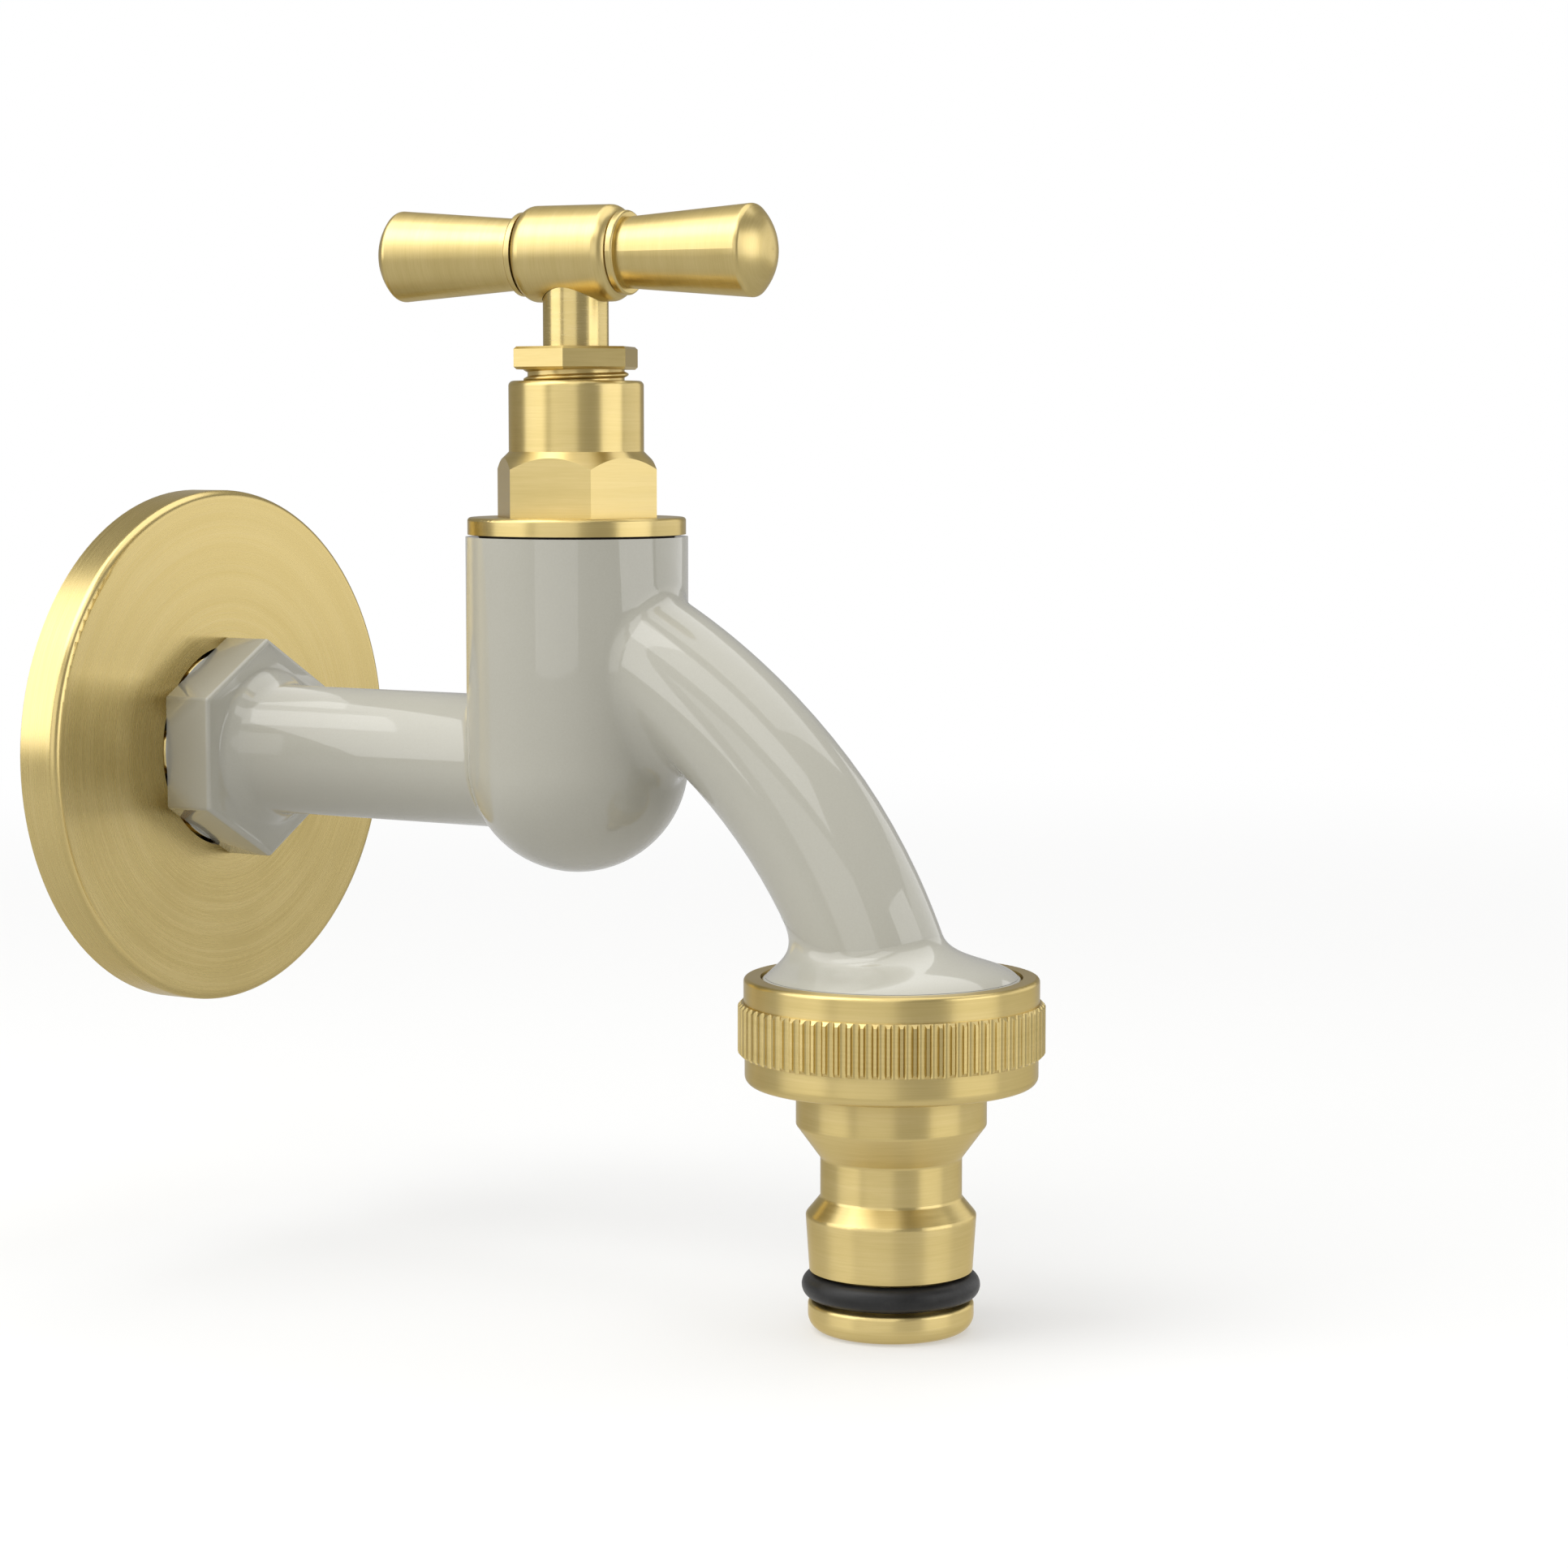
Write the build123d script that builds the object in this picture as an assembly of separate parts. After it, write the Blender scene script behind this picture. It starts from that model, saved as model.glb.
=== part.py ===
# Outdoor wall tap: an enamelled brass bib tap with a tee handle on a rising spindle, a hose connector
# screwed on under the spout, and a rose between the inlet's hexagon and the wall.
# The origin is on the inlet's axis in the wall's plane. +Y goes into the wall, +Z is up, and the tap
# stands out towards -Y. All sizes are in millimetres, and angles in degrees.
from build123d import *
import os
from math import acos, atan, cos, degrees, pi, radians, sin, sqrt

# Fits between pieces
screw_clearance = 0.05
running_clearance = 0.05
loose_clearance = 0.15

# Wall rose
rose_radius = 27.0
rose_thickness = 5.0
rose_edge_round = 0.9
rose_back_chamfer = 0.4

# Inlet: thread, hexagon and pipe
thread_radius = 10.4775
thread_behind_rose = 7.5
thread_chamfer = 1.0
thread_neck_radius = 10.2
inlet_hex_flats = 20.0
inlet_hex_length = 5.6
inlet_hex_round = 0.5
inlet_pipe_radius = 6.7
inlet_pipe_length = 39.3
inlet_hex_fillet = 2.2
inlet_body_fillet = 1.2
inlet_bore_radius = 4.5

# Valve chamber
body_radius = 11.05
body_top = 22.85
body_rim_round = 0.4
dome_rise = 0.4
seat_height = 7.0
seat_lift = 1.0
seat_width = 1.2
seat_bore_radius = 4.0
seat_bore_depth = 10.0
chamber_radius = 7.9

# Spout, an arc that ends on the outlet's axis
outlet_reach = 36.2
outlet_drop = 18.5
spout_radius = 6.65
spout_bend_radius = 65.0
spout_end_slant = 25.0
spout_bore_radius = 4.6
spout_body_fillet = 2.4
spout_flange_fillet = 2.2
outlet_flange_radius = 12.46
outlet_flange_rim = 0.5
outlet_end_length = 6.4
outlet_thread_relief = 1.6
outlet_thread_radius = 12.3
outlet_mouth_radius = 9.0
outlet_mouth_depth = 4.4

# Bonnet, washer and gland
bonnet_thread_radius = 8.33
bonnet_thread_length = 5.2
bonnet_washer_radius = 9.7
bonnet_washer_thickness = 1.0
bonnet_gap = 0.22
bonnet_flange_radius = 10.85
bonnet_flange_thickness = 1.7
bonnet_flange_round = 0.35
bonnet_hex_flats = 14.6
bonnet_hex_height = 4.75
bonnet_hex_turn = 44.0
bonnet_radius = 6.7
bonnet_height = 15.15
bonnet_top_round = 0.5
bonnet_web = 1.5
gland_box_depth = 7.8
gland_thread_radius = 4.8
gland_gap = 1.1
gland_hex_flats = 11.2
gland_hex_height = 2.25
gland_hex_chamfer = 0.25
gland_hex_turn = 23.0
gland_ring_thickness = 1.0
packing_height = 3.6

# Spindle and jumper valve
spindle_radius = 3.25
spindle_thread_radius = 4.2
spindle_lift = 4.5
spindle_stop_gap = 0.3
spindle_socket_radius = 2.1
spindle_socket_depth = 6.5
jumper_radius = 5.0
jumper_thickness = 1.8
jumper_stem_length = 6.0
jumper_stud_radius = 1.5
valve_washer_radius = 5.6
valve_washer_thickness = 2.5
washer_nut_flats = 5.5
washer_nut_height = 1.8
washer_nut_proud = 0.4

# Tee handle
hub_height = 50.7
hub_radius = 4.75
hub_length = 10.6
hub_round = 1.3
hub_cover = 2.3
handle_turn = 7.5
arm_collar_radius = 4.15
arm_collar_length = 0.7
arm_root_radius = 3.5
arm_end_radius = 4.55
arm_length = 13.4
arm_dome = 2.0
arm_rim_round = 0.6
arm_collar_round = 0.25
handle_stud_radius = 2.0
handle_stud_grip = 7.0

# Hose connector: heights run down from the ring's top face
ring_radius = 14.15
ring_top_edge = 0.4
knurl_radius = 14.7
knurl_top = 2.4
knurl_bottom = 7.5
knurl_count = 75
knurl_depth = 0.42
knurl_bevel = 0.35
knurl_groove_share = 0.75
ring_lower_radius = 14.05
ring_bottom = 10.3
ring_bottom_round = 0.9
socket_gap = 0.08
connector_washer_thickness = 2.0
connector_washer_hole = 6.5
shoulder_radius = 9.15
shoulder_bottom = 14.2
shoulder_round = 0.4
neck_radius = 6.8
neck_top = 17.4
neck_bottom = 21.2
neck_fillet = 0.4
collar_radius = 8.2
collar_round = 0.5
collar_top = 22.9
land_radius = 7.85
land_bottom = 28.3
tip_radius = 7.98
tip_top = 31.3
tip_bottom = 34.2
tip_round = 1.6
tip_top_round = 0.4
nipple_bore_radius = 4.6
o_ring_radius = 8.58
o_ring_section = 1.22

# Places worked out from the sizes above
valve_y = -(rose_thickness + inlet_hex_length + inlet_pipe_length)
outlet_y = valve_y - outlet_reach
outlet_top = -outlet_drop
thread_end = thread_behind_rose
bend_y = outlet_y + spout_bend_radius * cos(radians(spout_end_slant))
bend_z = outlet_top - spout_bend_radius * sin(radians(spout_end_slant))
spout_start_slant = degrees(acos((bend_y - valve_y + chamber_radius / 2) / spout_bend_radius))
bonnet_seat = body_top + bonnet_gap
bonnet_top = bonnet_seat + bonnet_height
gland_floor = bonnet_top - gland_box_depth
bonnet_web_floor = gland_floor - bonnet_web
gland_seat = bonnet_top + gland_gap
jumper_floor = seat_height + valve_washer_thickness
jumper_top = jumper_floor + jumper_thickness
spindle_thread_top = bonnet_web_floor - spindle_lift - spindle_stop_gap
jumper_stem_radius = spindle_socket_radius - running_clearance
outlet_end = outlet_top - outlet_end_length
socket_depth = outlet_end_length + connector_washer_thickness
socket_radius = outlet_flange_radius + socket_gap

on_valve_axis = Pos(0, valve_y, 0)
on_outlet_axis = Pos(0, outlet_y, 0)
on_handle_axis = Pos(0, valve_y, hub_height) * Rot(0, 0, handle_turn)


def turned(*points):
    """Solid of revolution about Z from (radius, height) points taken in order round the section."""
    section = make_face(Polyline(*[(radius, height) for radius, height in points], close=True))
    return revolve(Plane.XZ * section, axis=Axis.Z)


def tube(outer, inner, bottom, top):
    """Plain ring about Z between two heights."""
    return turned((inner, bottom), (outer, bottom), (outer, top), (inner, top))


def rod(radius, bottom, top):
    """Plain cylinder about Z between two heights."""
    return Pos(0, 0, bottom) * Cylinder(radius, top - bottom, align=(Align.CENTER, Align.CENTER, Align.MIN))


def hex_bar(flats, bottom, top, turn):
    """Hexagonal bar along Z, with a corner at the given angle from X."""
    corner = flats / sqrt(3)
    return extrude(Pos(0, 0, bottom) * RegularPolygon(corner, 6, rotation=turn), amount=top - bottom)


def rims(part, radius, height):
    """Circular edges of a turned piece that have one radius and height."""
    near = 0.001
    circles = part.edges().filter_by(GeomType.CIRCLE)
    return [e for e in circles if abs(e.radius - radius) < near and abs(e.arc_center.Z - height) < near]


def lying(part):
    """Turns a piece made about Z to lie along Y, with its top at +Y."""
    return Rot(-90, 0, 0) * part


def spout_arc(radius, start_slant, end_slant):
    """Round bar along the spout's arc between two slants, each measured from straight down."""
    slant = radians(start_slant)
    place = (0, bend_y - spout_bend_radius * cos(slant), bend_z + spout_bend_radius * sin(slant))
    section = Plane(place, x_dir=(1, 0, 0), z_dir=(0, sin(slant), cos(slant))) * Circle(radius)
    return revolve(section, axis=Axis((0, bend_y, bend_z), (-1, 0, 0)), revolution_arc=end_slant - start_slant)


def joining_edges(part, first, second):
    """Edges that the union of two solids made where their surfaces cross."""
    crossing = first & second
    box = crossing.bounding_box()
    margin = 0.01
    edges = []
    for edge in part.edges():
        if edge.geom_type in (GeomType.LINE, GeomType.CIRCLE):
            continue
        middle = edge @ 0.5
        inside_y = box.min.Y - margin < middle.Y < box.max.Y + margin
        inside_z = box.min.Z - margin < middle.Z < box.max.Z + margin
        if inside_y and inside_z:
            edges.append(edge)
    return edges


def body_shell():
    """Outside of the casting: valve chamber, inlet pipe and spout, blended into each other."""
    column = on_valve_axis * rod(body_radius, dome_rise, body_top)
    column += Pos(0, valve_y, dome_rise) * Sphere(body_radius)
    lower_turn = degrees(0.5 * outlet_end_length / spout_bend_radius)
    spout = spout_arc(spout_radius, spout_end_slant - lower_turn, spout_start_slant)
    pipe = lying(rod(inlet_pipe_radius, valve_y, valve_y + inlet_pipe_length))
    shell = column + spout
    shell = fillet(joining_edges(shell, column, spout), spout_body_fillet)
    joined = shell + pipe
    return fillet(joining_edges(joined, column, pipe), inlet_body_fillet)


def inlet_end():
    """Hexagon with softened edges, neck inside the rose, and the thread as a plain chamfered cylinder."""
    front = -(rose_thickness + inlet_hex_length)
    back = -rose_thickness
    hexagon = hex_bar(inlet_hex_flats, front, back, 90)
    hexagon = fillet(hexagon.edges().filter_by(Axis.Z) + hexagon.faces().sort_by(Axis.Z)[0].edges(), inlet_hex_round)
    flare = turned(
        (0, front - inlet_hex_fillet),
        (inlet_pipe_radius, front - inlet_hex_fillet),
        (inlet_pipe_radius + inlet_hex_fillet, front + inlet_hex_round),
        (0, front + inlet_hex_round),
    )
    neck = rod(thread_neck_radius, back, 0)
    thread = rod(thread_radius, 0, thread_end)
    thread = chamfer(rims(thread, thread_radius, thread_end), thread_chamfer)
    return lying(hexagon + flare + neck + thread)


def outlet_end_block():
    """Flange and threaded end below the spout, about the outlet's axis."""
    relief = outlet_top - outlet_thread_relief
    block = rod(outlet_flange_radius, relief, outlet_top) + rod(outlet_thread_radius, outlet_end, relief)
    block = fillet(rims(block, outlet_flange_radius, outlet_top), outlet_flange_rim)
    return on_outlet_axis * block


def waterways():
    """Space inside the casting: inlet bore, seat, valve chamber, spout bore and outlet mouth."""
    inlet = lying(rod(inlet_bore_radius, valve_y, thread_end))
    floor = seat_height - seat_lift
    chamber = turned(
        (0, seat_height - seat_bore_depth),
        (seat_bore_radius, seat_height - seat_bore_depth),
        (seat_bore_radius, seat_height),
        (seat_bore_radius + seat_width, seat_height),
        (seat_bore_radius + seat_width, floor),
        (chamber_radius, floor),
        (chamber_radius, bonnet_seat - bonnet_thread_length),
        (bonnet_thread_radius + screw_clearance, bonnet_seat - bonnet_thread_length),
        (bonnet_thread_radius + screw_clearance, bonnet_seat - bonnet_washer_thickness),
        (bonnet_washer_radius + loose_clearance, bonnet_seat - bonnet_washer_thickness),
        (bonnet_washer_radius + loose_clearance, body_top),
        (0, body_top),
    )
    spout = spout_arc(spout_bore_radius, spout_end_slant, spout_start_slant)
    mouth_top = outlet_end + outlet_mouth_depth
    mouth = rod(outlet_mouth_radius, outlet_end, mouth_top) + rod(spout_bore_radius, mouth_top, outlet_top)
    return inlet + on_valve_axis * chamber + spout + on_outlet_axis * mouth


def tap_body():
    """The whole casting, hollow from the inlet thread to the outlet."""
    shell = body_shell()
    block = outlet_end_block()
    solid = shell + block
    solid = fillet(joining_edges(solid, shell, block), spout_flange_fillet)
    solid += inlet_end()
    return solid - waterways()


def wall_rose():
    """Thick flat disc with a rounded front edge, pierced for the inlet thread."""
    hole = thread_radius + loose_clearance
    disc = tube(rose_radius, hole, -rose_thickness, 0)
    disc = fillet(rims(disc, rose_radius, -rose_thickness), rose_edge_round)
    disc = chamfer(rims(disc, rose_radius, 0) + rims(disc, hole, 0), rose_back_chamfer)
    return lying(disc)


def bonnet():
    """Headwork body: thread, flange, chamfered hexagon and gland box turned from one bar."""
    thread_end_height = bonnet_seat - bonnet_thread_length
    flange_top = bonnet_seat + bonnet_flange_thickness
    hex_corner = bonnet_hex_flats / sqrt(3)
    corner_top = flange_top + bonnet_hex_height
    cone_top = corner_top + hex_corner - bonnet_radius
    cone = turned(
        (0, flange_top),
        (2 * hex_corner, flange_top),
        (2 * hex_corner, corner_top - hex_corner),
        (bonnet_radius, cone_top),
        (0, cone_top),
    )
    flange = rod(bonnet_flange_radius, bonnet_seat, flange_top)
    flange = fillet(rims(flange, bonnet_flange_radius, flange_top), bonnet_flange_round)
    barrel = rod(bonnet_radius, flange_top, bonnet_top)
    barrel = fillet(rims(barrel, bonnet_radius, bonnet_top), bonnet_top_round)
    hexagon = hex_bar(bonnet_hex_flats, flange_top, cone_top, bonnet_hex_turn) & cone
    solid = rod(bonnet_thread_radius, thread_end_height, bonnet_seat) + flange + hexagon + barrel
    bore = rod(spindle_thread_radius + running_clearance, thread_end_height, bonnet_web_floor)
    bore += rod(spindle_radius + running_clearance, bonnet_web_floor, gland_floor)
    bore += rod(gland_thread_radius + screw_clearance, gland_floor, bonnet_top)
    return on_valve_axis * (solid - bore)


def bonnet_washer():
    """Fibre washer in the body's rim, under the bonnet's flange."""
    inner = bonnet_thread_radius + loose_clearance
    return on_valve_axis * tube(bonnet_washer_radius, inner, bonnet_seat - bonnet_washer_thickness, bonnet_seat)


def gland_nut():
    """Hexagon-headed gland screw that presses the packing on the spindle."""
    shank_end = gland_floor + packing_height + gland_ring_thickness
    head = hex_bar(gland_hex_flats, gland_seat, gland_seat + gland_hex_height, gland_hex_turn)
    ends = head.faces().sort_by(Axis.Z)
    head = chamfer(ends[0].edges() + ends[-1].edges(), gland_hex_chamfer)
    solid = head + rod(gland_thread_radius, shank_end, gland_seat)
    return on_valve_axis * (solid - rod(spindle_radius + running_clearance, shank_end, gland_seat + gland_hex_height))


def gland_ring():
    """Brass follower between the gland nut and the packing."""
    bottom = gland_floor + packing_height
    inner = spindle_radius + running_clearance
    return on_valve_axis * tube(gland_thread_radius, inner, bottom, bottom + gland_ring_thickness)


def gland_packing():
    """Packing ring that seals the spindle."""
    inner = spindle_radius + running_clearance
    return on_valve_axis * tube(gland_thread_radius, inner, gland_floor, gland_floor + packing_height)


def spindle():
    """Rising spindle: thread below, plain stem above, cross-drilled for the handle's stud."""
    top = hub_height + hub_radius - hub_cover - running_clearance
    socket_top = jumper_top + spindle_socket_depth
    solid = turned(
        (spindle_socket_radius, jumper_top),
        (spindle_thread_radius, jumper_top),
        (spindle_thread_radius, spindle_thread_top),
        (spindle_radius, spindle_thread_top),
        (spindle_radius, top),
        (0, top),
        (0, socket_top),
        (spindle_socket_radius, socket_top),
    )
    cross_hole = lying(rod(handle_stud_radius + screw_clearance, -hub_radius, hub_radius))
    return on_valve_axis * solid - on_handle_axis * cross_hole


def jumper_valve():
    """Valve plate with a stem that turns freely in the spindle, and a stud for the washer."""
    stud_end = seat_height - washer_nut_height - washer_nut_proud
    return on_valve_axis * turned(
        (0, stud_end),
        (jumper_stud_radius, stud_end),
        (jumper_stud_radius, jumper_floor),
        (jumper_radius, jumper_floor),
        (jumper_radius, jumper_top),
        (jumper_stem_radius, jumper_top),
        (jumper_stem_radius, jumper_top + jumper_stem_length),
        (0, jumper_top + jumper_stem_length),
    )


def valve_washer():
    """Rubber washer that closes the seat."""
    inner = jumper_stud_radius + screw_clearance
    return on_valve_axis * tube(valve_washer_radius, inner, seat_height, jumper_floor)


def washer_nut():
    """Small nut that holds the washer, inside the seat's bore."""
    nut = hex_bar(washer_nut_flats, seat_height - washer_nut_height, seat_height, 0)
    return on_valve_axis * (nut - rod(jumper_stud_radius + screw_clearance, 0, seat_height))


def handle_hub():
    """Barrel across the spindle's top, blind below for the spindle and drilled through for the stud."""
    half = hub_length / 2
    barrel = rod(hub_radius, -half, half)
    barrel = fillet(rims(barrel, hub_radius, half) + rims(barrel, hub_radius, -half), hub_round)
    barrel -= rod(handle_stud_radius + screw_clearance, -half, half)
    stem_hole = rod(spindle_radius + screw_clearance, -hub_radius, hub_radius - hub_cover)
    return on_handle_axis * (lying(barrel) - stem_hole)


def handle_arm(turn):
    """Arm that widens to a domed end, with a collar that seats on the hub's end face."""
    base = hub_length / 2
    root = base + arm_collar_length
    end = root + arm_length
    dome_radius = (arm_end_radius**2 + arm_dome**2) / (2 * arm_dome)
    dome_half_angle = atan(arm_end_radius / (dome_radius - arm_dome)) / 2
    dome_middle = (dome_radius * sin(dome_half_angle), end + arm_dome - dome_radius * (1 - cos(dome_half_angle)))
    sides = Polyline(
        (0, end + arm_dome),
        (0, base),
        (arm_collar_radius, base),
        (arm_collar_radius, root),
        (arm_root_radius, root),
        (arm_end_radius, end),
    )
    dome = ThreePointArc((arm_end_radius, end), dome_middle, (0, end + arm_dome))
    arm = revolve(Plane.XZ * make_face([sides, dome]), axis=Axis.Z)
    arm = fillet(rims(arm, arm_end_radius, end), arm_rim_round)
    arm = fillet(rims(arm, arm_collar_radius, root), arm_collar_round)
    arm -= rod(handle_stud_radius + screw_clearance, base, base + handle_stud_grip + loose_clearance)
    return on_handle_axis * Rot(0, 0, turn) * lying(arm)


def handle_stud():
    """Threaded stud through hub and spindle that the two arms screw onto."""
    reach = hub_length / 2 + handle_stud_grip
    return on_handle_axis * lying(rod(handle_stud_radius, -reach, reach))


def connector_height(depth):
    """Height of a point that lies so far below the connector ring's top face."""
    return outlet_top - depth


def knurl_grooves():
    """Straight round-bottomed grooves all round the grip."""
    half_pitch = pi * knurl_radius / knurl_count
    half_width = knurl_groove_share * half_pitch
    groove_radius = (half_width**2 + knurl_depth**2) / (2 * knurl_depth)
    centre = knurl_radius - knurl_depth + groove_radius
    circles = Sketch() + [place * Circle(groove_radius) for place in PolarLocations(centre, knurl_count)]
    low = connector_height(knurl_bottom)
    return extrude(Pos(0, 0, low) * circles, amount=knurl_bottom - knurl_top)


def hose_connector():
    """Knurled ring and click nipple turned from one bar, with the socket for the outlet inside."""
    groove_radius = o_ring_radius - 2 * o_ring_section
    funnel_depth = connector_washer_hole - nipple_bore_radius
    outside = (
        (socket_radius, 0),
        (ring_radius, 0),
        (ring_radius, knurl_top),
        (knurl_radius - knurl_bevel, knurl_top),
        (knurl_radius, knurl_top + knurl_bevel),
        (knurl_radius, knurl_bottom - knurl_bevel),
        (knurl_radius - knurl_bevel, knurl_bottom),
        (ring_lower_radius, knurl_bottom),
        (ring_lower_radius, ring_bottom),
        (shoulder_radius, ring_bottom),
        (shoulder_radius, shoulder_bottom),
        (neck_radius, neck_top),
        (neck_radius, neck_bottom),
        (collar_radius, collar_top),
        (land_radius, land_bottom),
        (groove_radius, land_bottom),
        (groove_radius, tip_top),
        (tip_radius, tip_top),
        (tip_radius, tip_bottom),
    )
    inside = (
        (nipple_bore_radius, tip_bottom),
        (nipple_bore_radius, socket_depth + funnel_depth),
        (connector_washer_hole, socket_depth),
        (socket_radius, socket_depth),
    )
    solid = turned(*[(radius, connector_height(depth)) for radius, depth in outside + inside])
    rounds = (
        (ring_radius, 0, ring_top_edge),
        (ring_lower_radius, ring_bottom, ring_bottom_round),
        (shoulder_radius, shoulder_bottom, shoulder_round),
        (neck_radius, neck_top, neck_fillet),
        (neck_radius, neck_bottom, neck_fillet),
        (collar_radius, collar_top, collar_round),
        (tip_radius, tip_top, tip_top_round),
        (tip_radius, tip_bottom, tip_round),
    )
    for radius, depth, size in rounds:
        solid = fillet(rims(solid, radius, connector_height(depth)), size)
    return on_outlet_axis * (solid - knurl_grooves())


def connector_washer():
    """Flat rubber washer between the outlet's end and the connector's floor."""
    outer = socket_radius - loose_clearance
    bottom = outlet_end - connector_washer_thickness
    return on_outlet_axis * tube(outer, connector_washer_hole, bottom, outlet_end)


def o_ring():
    """Rubber ring in the nipple's groove."""
    height = connector_height((land_bottom + tip_top) / 2)
    return Pos(0, outlet_y, height) * Torus(o_ring_radius - o_ring_section, o_ring_section)


nodes = {
    "tap_body": tap_body(),
    "wall_rose": wall_rose(),
    "bonnet": bonnet(),
    "bonnet_washer": bonnet_washer(),
    "gland_nut": gland_nut(),
    "gland_ring": gland_ring(),
    "gland_packing": gland_packing(),
    "spindle": spindle(),
    "jumper_valve": jumper_valve(),
    "valve_washer": valve_washer(),
    "washer_nut": washer_nut(),
    "handle_hub": handle_hub(),
    "handle_arm_front": handle_arm(180),
    "handle_arm_back": handle_arm(0),
    "handle_stud": handle_stud(),
    "hose_connector": hose_connector(),
    "connector_washer": connector_washer(),
    "o_ring": o_ring(),
}
os.makedirs("parts", exist_ok=True)
for name, solid in nodes.items():
    export_step(solid, f"parts/{name}.step")
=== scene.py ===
import math

import bmesh
import bpy
import numpy as np
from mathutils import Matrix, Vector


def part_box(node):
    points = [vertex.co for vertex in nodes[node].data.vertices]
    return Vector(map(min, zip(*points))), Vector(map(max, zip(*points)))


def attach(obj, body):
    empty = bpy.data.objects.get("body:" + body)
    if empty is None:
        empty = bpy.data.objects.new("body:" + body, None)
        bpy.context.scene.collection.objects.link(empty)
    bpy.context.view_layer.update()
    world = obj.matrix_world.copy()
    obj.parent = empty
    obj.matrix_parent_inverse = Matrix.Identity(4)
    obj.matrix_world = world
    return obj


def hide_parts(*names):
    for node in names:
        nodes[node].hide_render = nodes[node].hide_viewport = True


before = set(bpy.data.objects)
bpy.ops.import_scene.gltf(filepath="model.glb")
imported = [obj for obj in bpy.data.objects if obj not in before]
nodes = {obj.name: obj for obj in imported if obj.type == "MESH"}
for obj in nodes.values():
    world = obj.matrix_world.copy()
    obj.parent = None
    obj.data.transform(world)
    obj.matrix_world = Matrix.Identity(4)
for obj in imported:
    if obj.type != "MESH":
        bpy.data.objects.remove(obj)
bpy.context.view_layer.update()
mm = 0.001

# Places in the row frame, in metres, read from the solids
rose_low, rose_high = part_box("wall_rose")
bonnet_low, bonnet_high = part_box("bonnet")
connector_low, connector_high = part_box("hose_connector")
hub_low, hub_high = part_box("handle_hub")
valve_y = (bonnet_low[1] + bonnet_high[1]) / 2
outlet_y = (connector_low[1] + connector_high[1]) / 2
floor_z = connector_low[2] - 0.05 * mm
hex_back_y = rose_low[1]
wall_y = rose_high[1]
thread_end_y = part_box("tap_body")[1][1]
bonnet_top = bonnet_high[2]
gland_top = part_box("gland_nut")[1][2]
bar_z = (hub_low[2] + hub_high[2]) / 2

# Sizes that the solids were made with
handle_turn = math.radians(7.5)
spout_radius = 6.65 * mm
spout_bend = 65.0 * mm
spout_slant = math.radians(25.0)
spout_top = -18.5 * mm
bend_y = outlet_y + spout_bend * math.cos(spout_slant)
bend_z = spout_top - spout_bend * math.sin(spout_slant)

# Where the spout leaves the chamber, and the rim of the skirt at its foot
spout_side = -61.2 * mm
flare_rim = 12.1 * mm

# Axes that the pieces were turned on: a point and a direction
inlet_axis = ((0, 0, 0), (0, 1, 0))
valve_axis = ((0, valve_y, 0), (0, 0, 1))
outlet_axis = ((0, outlet_y, 0), (0, 0, 1))
bar_direction = (-math.sin(handle_turn), math.cos(handle_turn), 0)
bar_axis = ((0, valve_y, bar_z), bar_direction)


class Field:
    """One output of a shader node; arithmetic on it adds Math nodes to the same tree."""

    def __init__(self, tree, socket=None):
        self.tree = tree
        self.socket = socket

    def add(self, kind, settings, sockets, output=0):
        """A new node of that kind: its settings first, then values or links on its sockets."""
        node = self.tree.nodes.new("ShaderNode" + kind)
        for name, value in settings.items():
            if name == "stops":
                ramp = node.color_ramp
                while len(ramp.elements) < len(value):
                    ramp.elements.new(0.5)
                for element, (place, colour) in zip(ramp.elements, value):
                    element.position = place
                    element.color = (*colour, 1)
            else:
                setattr(node, name, value)
        for name, value in sockets.items():
            if isinstance(value, Field):
                self.tree.links.new(value.socket, node.inputs[name])
            else:
                node.inputs[name].default_value = value
        return Field(self.tree, node.outputs[output])

    def math(self, operation, *values):
        return self.add("Math", {"operation": operation}, dict(enumerate(values)))

    def vector(self, operation, *values, output=0):
        return self.add("VectorMath", {"operation": operation}, dict(enumerate(values)), output)

    def scaled(self, vector, factor):
        """A vector times a number or a value."""
        return self.add("VectorMath", {"operation": "SCALE"}, {0: vector, "Scale": factor})

    def noise(self, place, scale, detail, roughness=0.5):
        """Noise from 0 to 1 at a place, with that many cells to the unit."""
        wants = {"Vector": place, "Scale": scale, "Detail": detail, "Roughness": roughness}
        return self.add("TexNoise", {}, wants)

    def bump(self, height, distance):
        """Normal of a surface raised by a height from 0 to 1 times a distance in metres."""
        return self.add("Bump", {}, {"Height": height, "Distance": distance, "Strength": 1.0})

    def __add__(self, other):
        return self.math("ADD", self, other)

    def __radd__(self, other):
        return self.math("ADD", other, self)

    def __sub__(self, other):
        return self.math("SUBTRACT", self, other)

    def __mul__(self, other):
        return self.math("MULTIPLY", self, other)

    def __gt__(self, other):
        return self.math("GREATER_THAN", self, other)


def new_material(name, constants):
    """A new material, a Field to start its expressions from, and its shader with the constants set."""
    made = bpy.data.materials.new(name)
    made.use_nodes = True
    shader = made.node_tree.nodes["Principled BSDF"]
    for socket, value in constants.items():
        shader.inputs[socket].default_value = value
    return made, Field(made.node_tree), shader


def feed(shader, fields):
    """Links each field to the shader's socket of that name."""
    for name, field in fields.items():
        field.tree.links.new(field.socket, shader.inputs[name])


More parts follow.
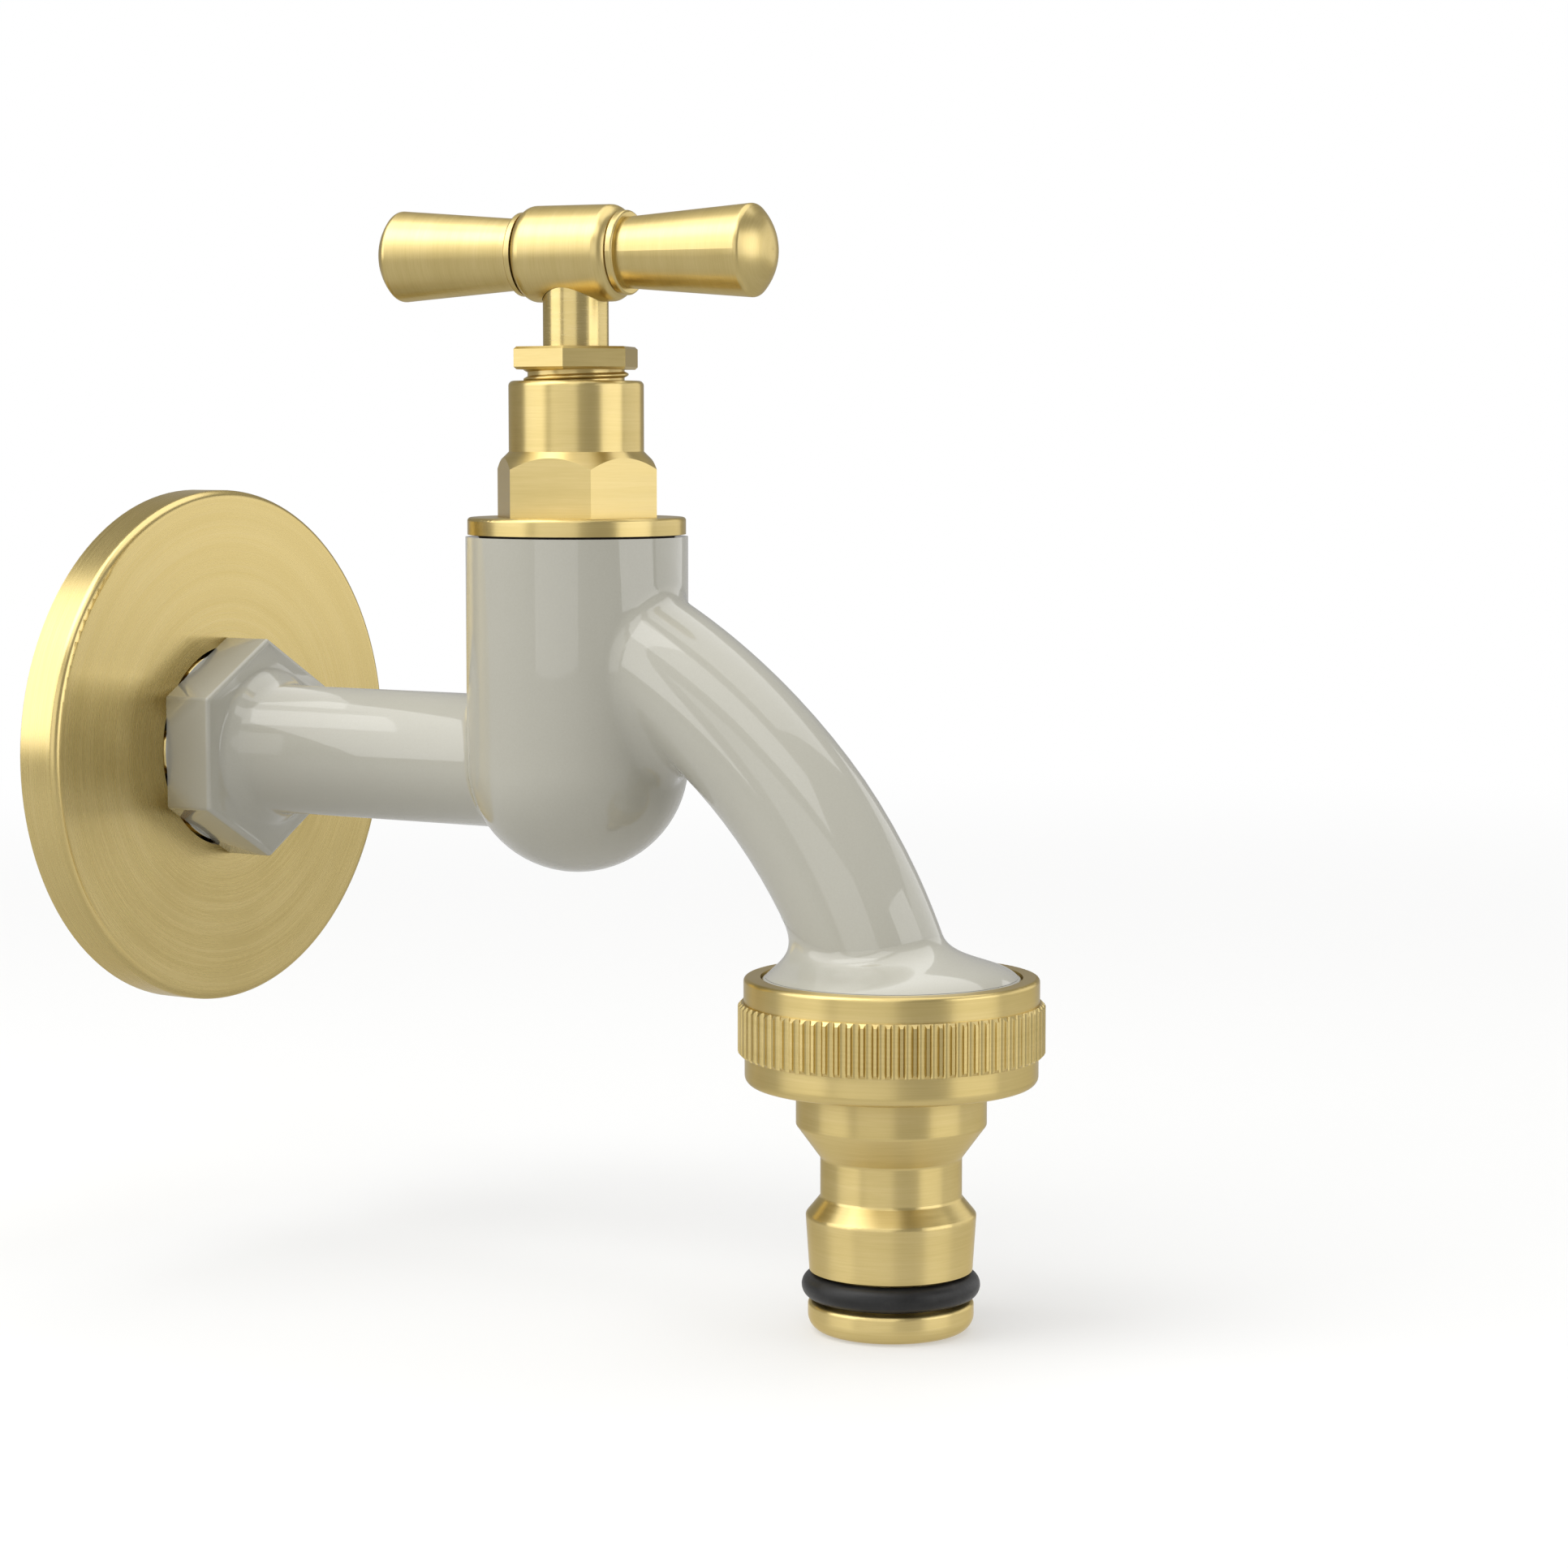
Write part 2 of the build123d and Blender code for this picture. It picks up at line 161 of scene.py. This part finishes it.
def brushed_brass(name, axis, roughness=0.33, lines=7500, depth=0.6e-6, anisotropy=0.0, tone=1.0):
    """Satin brass finished on a lathe. Noise is stretched round the axis: it changes along the axis on a
    barrel or a flat, and along the radius on an end face. It gives the brush lines in bump, tone and gloss.
    lines is the number of noise cells to the metre, depth the bump's height in metres."""
    made, start, shader = new_material(name, {
        "Metallic": 1.0,
        "Anisotropic": anisotropy,
        "Anisotropic Rotation": 0.25,
        "Specular Tint": (0.86, 0.75, 0.46, 1),
        "Coat Weight": 0.5,
        "Coat IOR": 1.5,
        "Coat Roughness": 0.2,
    })
    origin, direction = axis
    normal = start.add("TexCoord", {}, {}, "Normal")
    place = start.vector("SUBTRACT", start.add("TexCoord", {}, {}, "Object"), origin)
    along = start.vector("DOT_PRODUCT", place, direction, output="Value")
    spoke = start.vector("SUBTRACT", place, start.scaled(direction, along))
    radius = start.vector("LENGTH", spoke, output="Value")
    around = start.vector("NORMALIZE", spoke)
    facing = start.vector("DOT_PRODUCT", normal, direction, output="Value")
    end_face = facing.math("ABSOLUTE", facing) > 0.75
    across = along + end_face * (radius - along)
    drawn = start.vector("ADD", start.scaled(direction, across * lines), start.scaled(around, 1.5))
    streaks = start.noise(drawn, 1.0, 3.0, 0.62)
    broad = start.noise(start.vector("ADD", start.scaled(drawn, 0.11), (3.1, 7.7, 1.9)), 1.0, 2.0)
    cloud = start.noise(place, 140.0, 3.0)
    shade = streaks * 0.45 + broad * 0.35 + cloud * 0.2
    brass = [(0.3, (0.565, 0.434, 0.160)), (0.5, (0.622, 0.486, 0.196)), (0.7, (0.680, 0.539, 0.240))]
    # tone below 1 darkens the whole brass evenly; the stem and the bar use it as painted shade
    stops = [(level, tuple(tone * part for part in colour)) for level, colour in brass]
    colour = start.add("ValToRGB", {"stops": stops}, {0: shade})
    gloss = roughness + (streaks - 0.5) * 0.14 + (cloud - 0.5) * 0.05
    feed(shader, {"Base Color": colour, "Roughness": gloss, "Normal": start.bump(streaks, depth)})
    return made


def greige_enamel(name):
    """Thick glossy coat of warm light grey paint: hardly any change of tone, a very slight orange peel."""
    made, start, shader = new_material(name, {
        "Coat Roughness": 0.025,
        "Coat IOR": 1.5,
        "Specular IOR Level": 0.15,
    })
    place = start.add("TexCoord", {}, {}, "Object")
    cloud = start.noise(place, 55.0, 3.0)
    peel = start.noise(place, 620.0, 2.0)
    speck = start.noise(place, 5200.0, 1.0)
    shade = cloud * 0.6 + speck * 0.4
    stops = [(0.3, (0.386, 0.375, 0.318)), (0.7, (0.410, 0.399, 0.342))]
    colour = start.add("ValToRGB", {"stops": stops}, {0: shade})
    gloss = 0.2 + (cloud - 0.5) * 0.1
    coat = 0.9 + (cloud - 0.5) * 0.1
    feed(shader, {"Base Color": colour, "Roughness": gloss, "Coat Weight": coat,
                  "Normal": start.bump(peel, 6e-6)})
    return made


def black_rubber(name):
    """Moulded rubber: nearly black, soft sheen, fine matt grain with a few dusty paler flecks."""
    made, start, shader = new_material(name, {"Specular IOR Level": 0.3})
    place = start.add("TexCoord", {}, {}, "Object")
    grain = start.noise(place, 4200.0, 3.0)
    dust = start.noise(place, 420.0, 4.0, 0.65)
    stops = [(0.35, (0.008, 0.008, 0.008)), (0.62, (0.015, 0.015, 0.015)), (0.8, (0.028, 0.027, 0.026))]
    colour = start.add("ValToRGB", {"stops": stops}, {0: dust})
    gloss = 0.42 + (grain - 0.5) * 0.2 + (dust - 0.5) * 0.15
    feed(shader, {"Base Color": colour, "Roughness": gloss, "Normal": start.bump(grain, 9e-6)})
    return made


def pressed_fibre(name):
    """Sealing fibre: dark brown felted sheet with short paler threads."""
    made, start, shader = new_material(name, {"Specular IOR Level": 0.3})
    place = start.add("TexCoord", {}, {}, "Object")
    felt = start.noise(place, 1700.0, 5.0, 0.7)
    cloud = start.noise(place, 220.0, 2.0)
    stops = [(0.3, (0.020, 0.014, 0.010)), (0.55, (0.045, 0.032, 0.023)), (0.75, (0.105, 0.078, 0.055))]
    colour = start.add("ValToRGB", {"stops": stops}, {0: felt * 0.75 + cloud * 0.25})
    gloss = 0.78 + (felt - 0.5) * 0.25
    feed(shader, {"Base Color": colour, "Roughness": gloss, "Normal": start.bump(felt, 3e-5)})
    return made


def studio_floor(name):
    """White floor. To the camera it is lifted to the background's white, wholly so from 0.6 m out. To the
    tap's surfaces it is a plain floor with a soft glow round the tap's foot and a duller one further out."""
    made, start, shader = new_material(name, {"Roughness": 0.6, "Specular IOR Level": 0.2})
    shader.inputs["Base Color"].default_value = (0.46, 0.46, 0.455, 1)
    place = start.add("TexCoord", {}, {}, "Object")
    seen = start.add("LightPath", {}, {}, "Is Camera Ray")
    apart = start.vector("DISTANCE", place, (0, outlet_y, floor_z), output="Value")
    smooth = {"interpolation_type": "SMOOTHSTEP"}
    fade = start.add("MapRange", smooth, {0: apart, 1: 0.15, 2: 0.6})
    halo = start.add("MapRange", smooth, {0: apart, 1: 0.01, 2: 0.09, 3: 0.5, 4: 0})
    near = Field(start.tree, shader.outputs[0])
    glow = start.add("Emission", {}, {"Color": (1, 0.99, 0.97, 1), "Strength": 1.2})
    close = start.add("MixShader", {}, {0: halo, 1: near, 2: glow})
    far = start.add("Emission", {}, {"Color": (1, 0.99, 0.97, 1), "Strength": 0.5})
    plain = start.add("MixShader", {}, {0: fade, 1: close, 2: far})
    lift = start.add("Emission", {}, {"Color": (1, 1, 1, 1), "Strength": 0.385})
    lifted = start.add("AddShader", {}, {0: near, 1: lift})
    white = start.add("Emission", {}, {"Color": (1, 1, 1, 1), "Strength": 1.0})
    shown = start.add("MixShader", {}, {0: fade, 1: lifted, 2: white})
    both = start.add("MixShader", {}, {0: seen, 1: plain, 2: shown})
    start.tree.links.new(both.socket, start.tree.nodes["Material Output"].inputs["Surface"])
    return made


def grid_piece(name, points, finish, body):
    """Mesh piece from a grid of points, rows by columns, whose columns run round and close on themselves."""
    rows, columns = points.shape[:2]
    here = np.arange(rows * columns).reshape(rows, columns)
    right = np.roll(here, -1, axis=1)
    faces = np.stack([here[:-1], right[:-1], right[1:], here[1:]], -1).reshape(-1, 4)
    mesh = bpy.data.meshes.new(name)
    mesh.from_pydata(points.reshape(-1, 3).tolist(), [], faces.tolist())
    mesh.polygons.foreach_set("use_smooth", np.ones(len(faces), bool))
    mesh.materials.append(finish)
    piece = bpy.data.objects.new(name, mesh)
    bpy.context.scene.collection.objects.link(piece)
    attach(piece, body)
    return piece


def screw_thread(name, axis, start, end, pitch, root, crest, chamfer, finish, body):
    """Outside thread as a height field on a cylinder. The radius at an angle and a place along the axis is
    root + depth * flank(phase), with phase = place / pitch - angle / one turn, and flank a rounded 55 degree
    tooth. The chamfer lowers the crests towards both ends, where the radius dips below the root."""
    steps = 20
    columns = 144
    land = 0.14
    along = np.arange(start, end + pitch / steps / 2, pitch / steps)
    angle = np.linspace(0, 2 * math.pi, columns, endpoint=False)
    phase = along[:, None] / pitch - angle[None, :] / (2 * math.pi)
    tooth = np.abs(2 * (phase - np.floor(phase)) - 1)
    flank = np.clip((tooth - land) / (1 - 2 * land), 0, 1)
    flank = flank * flank * (3 - 2 * flank) * 0.35 + flank * 0.65
    radius = root + (crest - root) * flank
    near_end = np.minimum(along - start, end - along)[:, None]
    radius = np.minimum(radius, root - 0.05 * mm + near_end * (crest - root) / chamfer)
    origin, direction = (np.array(v, float) for v in axis)
    first = np.array([1.0, 0.0, 0.0])
    second = np.cross(direction, first)
    circle = first * np.cos(angle)[:, None] + second * np.sin(angle)[:, None]
    points = origin + direction * along[:, None, None] + circle[None] * radius[..., None]
    return grid_piece(name, points, finish, body)


def drawn_in(points):
    """Draws the spout's last stretch in towards the valve. A point on it moves in y by 0.9 mm * t ** 1.4,
    with t from 0 to 1 over 16 mm of height. The chamber, the flange's rim and what is under it stay."""
    draw = 0.9 * mm
    start_z = 0.5 * mm
    height = 16 * mm
    inside_rim = 11.6 * mm
    margin = 0.05 * mm
    x, y, z = points[:, 0], points[:, 1], points[:, 2]
    t = np.clip((start_z - z) / height, 0, 1)
    on_rim = (z < spout_top + margin) & (np.hypot(x, y - outlet_y) > inside_rim)
    stays = on_rim | (y > spout_side) | (z < spout_top - margin)
    moved = points.copy()
    moved[:, 1] += np.where(stays, 0, draw * t ** 1.4)
    return moved


def foot_flare(name, finish):
    """Skirt from the rim of the outlet's flange up to the spout. At each angle round the spout a cubic Bezier
    curve starts at the rim, rises to a rounded shoulder, sweeps into a throat and ends on the spout's
    surface, tangent to it. The curves are higher on the outer and the inner side, with the square of the
    angle's cosine."""
    turn = np.linspace(0, 2 * math.pi, 120, endpoint=False)
    outer = np.clip(np.cos(turn), 0, 1) ** 2
    inner = np.clip(-np.cos(turn), 0, 1) ** 2
    proud = 0.012 * mm
    reach = spout_bend + (spout_radius + proud) * np.cos(turn)
    foot = np.arcsin(spout_bend * math.sin(spout_slant) / reach)
    slant = foot + (3.4 + 1.1 * outer + 3.6 * inner) * mm / reach
    top_z = spout_top + proud
    surface = np.stack([
        (spout_radius + proud) * np.sin(turn),
        bend_y - reach * np.cos(slant),
        bend_z + reach * np.sin(slant),
    ], -1)
    rising = np.stack([np.zeros_like(turn), np.sin(slant), np.cos(slant)], -1)
    corner = surface - rising * ((surface[:, 2] - top_z) / rising[:, 2])[:, None]
    surface = drawn_in(surface)
    corner = drawn_in(corner)
    rim = flare_rim * np.stack([np.sin(turn), -np.cos(turn), np.zeros_like(turn)], -1)
    rim += np.array([0, outlet_y, top_z])
    shoulder = rim + 0.36 * (corner - rim)
    shoulder[:, 2] += (1.2 + 1.0 * outer + 0.3 * inner) * mm
    throat = corner + rising * ((0.9 + 1.3 * outer + 2.0 * inner) * mm)[:, None]
    step = np.linspace(0, 1, 26)[:, None, None]
    points = (1 - step) ** 3 * rim + 3 * step * (1 - step) ** 2 * shoulder
    points += 3 * step ** 2 * (1 - step) * throat + step ** 3 * surface
    return grid_piece(name, points, finish, "tap")


def merged_copy(name, node):
    """A new object with a copy of a solid's mesh, its doubled corners merged and its sharp edges kept."""
    mesh = node.data.copy()
    work = bmesh.new()
    work.from_mesh(mesh)
    bmesh.ops.remove_doubles(work, verts=work.verts, dist=1e-6)
    work.to_mesh(mesh)
    work.free()
    piece = bpy.data.objects.new(name, mesh)
    bpy.context.scene.collection.objects.link(piece)
    return piece


def dress(name, finish):
    """Gives a solid its finish in place of the one it came with."""
    node = nodes[name]
    node.data.materials.clear()
    node.data.materials.append(finish)


def soft_box(name, place, target, width, height, radiance):
    """Rectangular lamp of that radiance, turned to face the target."""
    lamp = bpy.data.lights.new(name, "AREA")
    lamp.shape = "RECTANGLE"
    lamp.size = width
    lamp.size_y = height
    lamp.energy = radiance * math.pi * width * height
    box = bpy.data.objects.new(name, lamp)
    bpy.context.scene.collection.objects.link(box)
    facing = Vector(target) - Vector(place)
    box.rotation_euler = facing.to_track_quat("-Z", "Y").to_euler()
    box.location = place
    box.visible_camera = False
    return box


# Finishes
enamel = greige_enamel("greige_enamel")
rubber = black_rubber("black_rubber")
fibre = pressed_fibre("pressed_fibre")
turned = {"lines": 5600, "depth": 1.0e-6, "anisotropy": 0.85}
valve_brass = brushed_brass("brass_on_valve_axis", valve_axis, **turned)
# The stem's and the bar's brass is the same brass made 7 % darker all over: painted shade, to tone down the
# lamps' highlights on them
stem_brass = brushed_brass("brass_stem", valve_axis, roughness=0.25, depth=0.4e-6, anisotropy=0.5, tone=0.93)
bar_brass = brushed_brass("brass_on_bar_axis", bar_axis, roughness=0.34, depth=0.4e-6, tone=0.93)
connector_brass = brushed_brass("brass_on_outlet_axis", outlet_axis, **turned)
rose_brass = brushed_brass("brass_rose", inlet_axis, roughness=0.27, lines=5200, depth=1.0e-6)
thread_brass = brushed_brass("brass_inlet_thread", inlet_axis, roughness=0.24, lines=5200, depth=1.2e-6)

for name in ("bonnet", "gland_nut", "gland_ring", "jumper_valve", "washer_nut"):
    dress(name, valve_brass)
for name in ("handle_hub", "handle_arm_front", "handle_arm_back", "handle_stud"):
    dress(name, bar_brass)
for name in ("valve_washer", "connector_washer", "o_ring"):
    dress(name, rubber)
for name in ("bonnet_washer", "gland_packing"):
    dress(name, fibre)
dress("spindle", stem_brass)
dress("hose_connector", connector_brass)
dress("wall_rose", rose_brass)
dress("tap_body", enamel)

# The body's plain thread ends are drawn in to the root, and the ridges stand on them
inlet_crest = 10.4775 * mm
inlet_root = 9.32 * mm
inlet_pitch = 1.814 * mm
outlet_crest = 12.3 * mm
outlet_root = 11.4 * mm
outlet_pitch = 1.5 * mm
gland_crest = 5.2 * mm
gland_root = 4.6 * mm
gland_pitch = 1.0 * mm
outlet_thread_top = spout_top - 1.6 * mm
outlet_thread_end = spout_top - 6.4 * mm
sink = 0.08 * mm
bore_limit = 6.0 * mm
pipe_start = valve_y + 11.5 * mm
tiny = 0.01 * mm
margin = 0.05 * mm
body = merged_copy("tap_body_cast", nodes["tap_body"])
middles = np.empty(len(body.data.polygons) * 3)
body.data.polygons.foreach_get("center", middles)
middles = middles.reshape(-1, 3)
corners = np.empty(len(body.data.vertices) * 3)
body.data.vertices.foreach_get("co", corners)
corners = corners.reshape(-1, 3)
inlet_spoke = np.hypot(corners[:, 0], corners[:, 2])
on_inlet = (corners[:, 1] > wall_y - tiny) & (inlet_spoke > inlet_root)
shrink = np.where(on_inlet, (inlet_root - sink) / np.maximum(inlet_spoke, tiny), 1.0)
corners[:, 0] *= shrink
corners[:, 2] *= shrink
outlet_spoke = np.hypot(corners[:, 0], corners[:, 1] - outlet_y)
on_outlet = (corners[:, 2] < outlet_thread_top + tiny) & (outlet_spoke > outlet_root)
on_outlet &= outlet_spoke < outlet_crest + tiny
shrink = np.where(on_outlet, (outlet_root - sink) / np.maximum(outlet_spoke, tiny), 1.0)
corners[:, 0] *= shrink
corners[:, 1] = outlet_y + (corners[:, 1] - outlet_y) * shrink
body.data.vertices.foreach_set("co", drawn_in(corners).ravel())
body.data.update()

# Bare brass behind the hexagon, under the outlet's thread and inside both bores; the rest is enamelled
body.data.materials.clear()
body.data.materials.append(enamel)
body.data.materials.append(thread_brass)
from_pipe = np.hypot(middles[:, 0], middles[:, 2])
from_bend = np.hypot(middles[:, 1] - bend_y, middles[:, 2] - bend_z)
from_spout = np.hypot(from_bend - spout_bend, middles[:, 0])
bare = (middles[:, 1] > hex_back_y + margin) | (middles[:, 2] < outlet_thread_top - margin)
bare |= (from_pipe < bore_limit) & (middles[:, 1] > pipe_start)
bare |= (from_spout < bore_limit) & (middles[:, 1] < spout_side)
body.data.polygons.foreach_set("material_index", bare.astype(np.int32))

# Smooth faces between the sharp edges; the inlet's end face stays flat
normals = np.empty(len(bare) * 3)
body.data.polygons.foreach_get("normal", normals)
flat = (normals.reshape(-1, 3)[:, 1] > 0.99) & (middles[:, 1] > wall_y)
body.data.set_sharp_from_angle(angle=math.radians(32))
body.data.polygons.foreach_set("use_smooth", ~flat)
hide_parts("tap_body")
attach(body, "tap")
screw_thread("inlet_thread_ridges", inlet_axis, hex_back_y + 0.2 * mm, thread_end_y, inlet_pitch,
             inlet_root, inlet_crest, 1.0 * mm, thread_brass, "tap")
screw_thread("outlet_thread_ridges", outlet_axis, outlet_thread_end, outlet_thread_top, outlet_pitch,
             outlet_root, outlet_crest, 0.7 * mm, connector_brass, "tap")
screw_thread("gland_thread_ridges", valve_axis, bonnet_top - 0.8 * mm, gland_top - 1.9 * mm, gland_pitch,
             gland_root, gland_crest, 0.3 * mm, valve_brass, "tap")

# Skirt at the spout's foot
foot_flare("spout_foot_flare", enamel)

# Floor, lamps and background; the floor goes down with the connector, so that it stays under the tip
floor_radius = 6.0
floor_corners = 96
turn = np.linspace(0, 2 * math.pi, floor_corners, endpoint=False)
floor_rim = np.stack([
    floor_radius * np.cos(turn),
    floor_radius * np.sin(turn),
    np.full_like(turn, floor_z),
], -1)
floor_mesh = bpy.data.meshes.new("floor")
floor_mesh.from_pydata(floor_rim.tolist(), [], [list(range(floor_corners))])
floor_mesh.materials.append(studio_floor("white_floor"))
floor = bpy.data.objects.new("floor", floor_mesh)
bpy.context.scene.collection.objects.link(floor)
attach(floor, "connector")

# Where the camera stands, from the point it looks at; the lamps are placed from its side
azimuth = math.radians(-58.46)
elevation = math.radians(5.45)
distance = 378.7 * mm
centre = np.array([8.77, -68.66, -1.65]) * mm
back = np.array([math.sin(azimuth) * math.cos(elevation), -math.cos(azimuth) * math.cos(elevation),
                 math.sin(elevation)])
right = np.array([math.cos(azimuth), math.sin(azimuth), 0.0])
level_back = np.array([math.sin(azimuth), -math.cos(azimuth), 0.0])


def studio_place(turn, reach, height):
    """Point at an angle from the camera's side, positive to the right, that far out and that high."""
    side = math.radians(turn)
    spot = centre + reach * (level_back * math.cos(side) + right * math.sin(side))
    return (float(spot[0]), float(spot[1]), height)


aim = tuple(float(v) for v in centre)
soft_box("left_box", studio_place(-74, 0.62, 0.5), aim, 0.72, 1.25, 2.1)
soft_box("fill_box", studio_place(-20, 0.58, 0.13), aim, 0.5, 0.36, 0.95)
soft_box("right_box", studio_place(66, 0.62, 0.15), aim, 0.5, 0.42, 1.9)
soft_box("far_right_box", studio_place(118, 0.7, 0.15), aim, 0.72, 0.42, 0.85)
soft_box("front_box", studio_place(-34, 0.44, 0.62), aim, 0.95, 0.36, 1.85)
soft_box("top_box", studio_place(150, 0.25, 0.85), aim, 0.9, 0.9, 1.5)

world = bpy.data.worlds.new("studio")
bpy.context.scene.world = world
world.use_nodes = True
sky = Field(world.node_tree)
seen = sky.add("LightPath", {}, {}, "Is Camera Ray")
room = sky.add("Background", {}, {"Color": (1.0, 0.995, 0.985, 1), "Strength": 0.38})
backdrop = sky.add("Background", {}, {"Color": (1, 1, 1, 1), "Strength": 1.0})
both = sky.add("MixShader", {}, {0: seen, 1: room, 2: backdrop})
world.node_tree.links.new(both.socket, world.node_tree.nodes["World Output"].inputs["Surface"])
bpy.context.scene.view_settings.view_transform = "Standard"

# Camera where the photograph was taken from
lens = bpy.data.cameras.new("camera")
lens.sensor_width = 36
lens.lens = 87.5
lens.clip_start = 0.01
camera = bpy.data.objects.new("camera", lens)
bpy.context.scene.collection.objects.link(camera)
camera.location = centre + back * distance
camera.rotation_euler = Vector(back).to_track_quat("Z", "Y").to_euler()
bpy.context.scene.camera = camera
